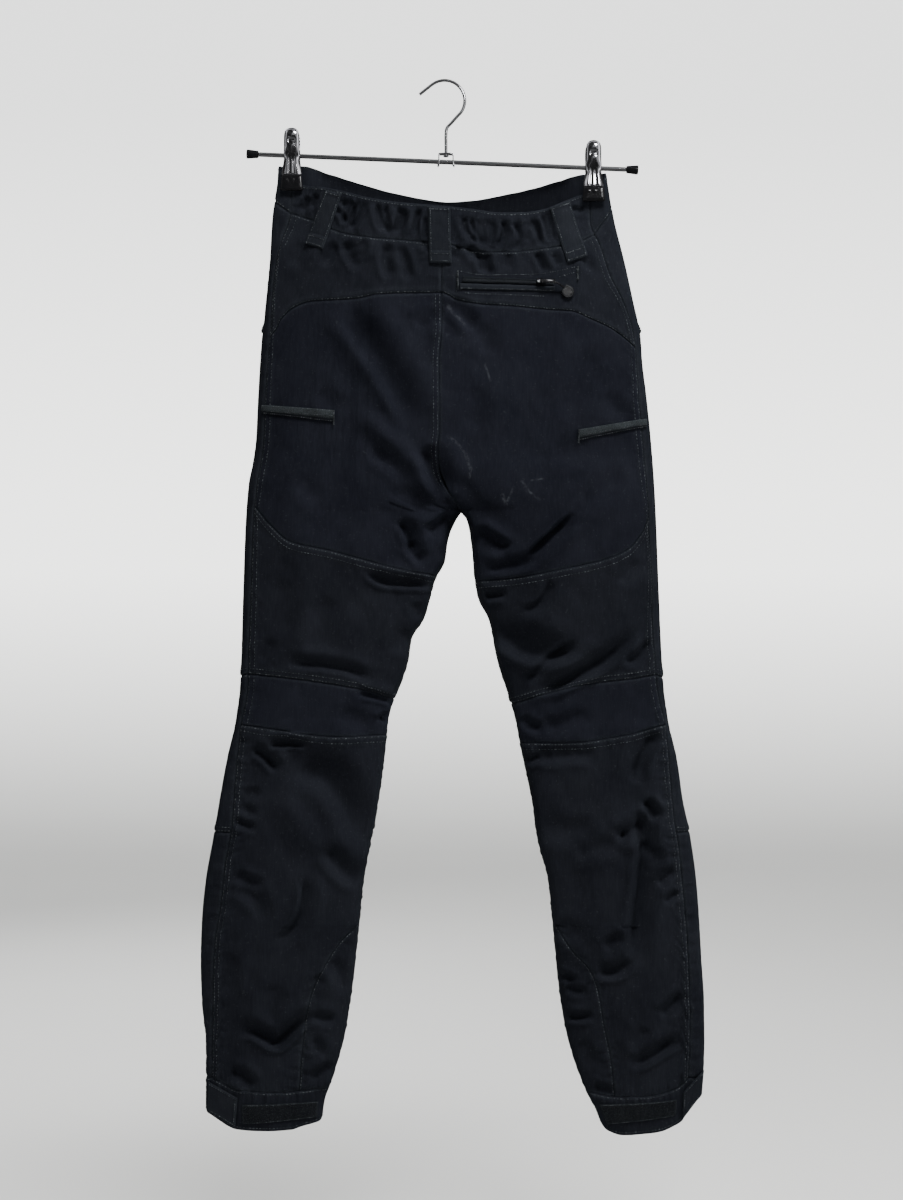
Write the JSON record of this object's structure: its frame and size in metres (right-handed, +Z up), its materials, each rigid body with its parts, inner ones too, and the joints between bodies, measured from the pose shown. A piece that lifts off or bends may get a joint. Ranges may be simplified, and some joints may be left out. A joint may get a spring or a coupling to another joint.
{
  "type": "hiking trousers hung by the waist on a two-clip hanger",
  "caption": "Hiking trousers with a gathered elastic waist, yoke, zipped pockets, shaped legs and hem tabs, hanging by the waistband from a rod hanger with two sprung clips.",
  "frame": {"origin": "inner top of the hanger's hook, where a rail or peg carries it", "axes": "+X to the right seen from behind the trousers, +Y to the front of the trousers, +Z up"},
  "size_m": [0.5253, 0.0679, 1.0974],
  "materials": {
    "canvas": "matt plain-weave polyester-cotton canvas, near black with a faint grey cast",
    "stretch_cloth": "smooth stretch twill, near black with a navy cast",
    "trim_webbing": "doubled canvas, edge stitched",
    "loop_fastener": "fuzzy loop tape",
    "zip_tape": "ribbed grey-black zip tape",
    "chrome": "polished chrome plate",
    "dipped_black": "glossy black vinyl dip",
    "button_plastic": "moulded black button",
    "slider_metal": "worn plated zip slider",
    "pull_rubber": "moulded black rubber, bare"
  },
  "bodies": {
    "garment": {"yoke_left": "canvas", "thigh_back_left": "canvas", "calf_back_left": "canvas", "ankle_patch_left": "canvas", "front_thigh_left": "canvas", "front_knee_left": "canvas", "front_shin_left": "canvas", "hem_band_left": "canvas", "yoke_right": "canvas", "thigh_back_right": "canvas", "calf_back_right": "canvas", "ankle_patch_right": "canvas", "front_thigh_right": "canvas", "front_knee_right": "canvas", "front_shin_right": "canvas", "hem_band_right": "canvas", "waistband_back": "canvas", "waistband_front_left": "canvas", "waistband_front_right": "canvas", "fly_placket": "canvas", "seat_left": "stretch_cloth", "knee_back_left": "stretch_cloth", "seat_right": "stretch_cloth", "knee_back_right": "stretch_cloth", "belt_loop_back_left": "trim_webbing", "belt_loop_back_centre": "trim_webbing", "belt_loop_back_right": "trim_webbing", "belt_loop_front_left": "trim_webbing", "belt_loop_front_right": "trim_webbing", "back_pocket_welt": "trim_webbing", "hand_pocket_edge_left": "trim_webbing", "hand_pocket_edge_right": "trim_webbing", "hem_tab_left": "trim_webbing", "hem_tab_right": "trim_webbing", "hem_loop_strip_left": "loop_fastener", "hem_loop_strip_right": "loop_fastener", "thigh_zip_left": "zip_tape", "thigh_zip_right": "zip_tape", "back_pocket_zip": "zip_tape", "hanger_rod": "chrome", "hook": "chrome", "hook_bracket": "chrome", "clip_left_jaw_back": "chrome", "clip_left_jaw_front": "chrome", "clip_left_spring": "chrome", "clip_right_jaw_back": "chrome", "clip_right_jaw_front": "chrome", "clip_right_spring": "chrome", "rod_cap_left": "dipped_black", "rod_cap_right": "dipped_black", "clip_left_pad_back": "dipped_black", "clip_left_pad_front": "dipped_black", "clip_right_pad_back": "dipped_black", "clip_right_pad_front": "dipped_black", "button": "button_plastic", "back_pocket_slider": "slider_metal"},
    "zip_pull": {"back_pocket_zip_pull": "pull_rubber"}
  },
  "joints": [
    {"name": "zip_pull_swing", "type": "hinge", "parent": "garment", "child": "zip_pull", "pos_m": [0.0993, -0.0323, -0.2148], "axis": [0, 0, -1], "range_deg": [0, 150]}
  ]
}
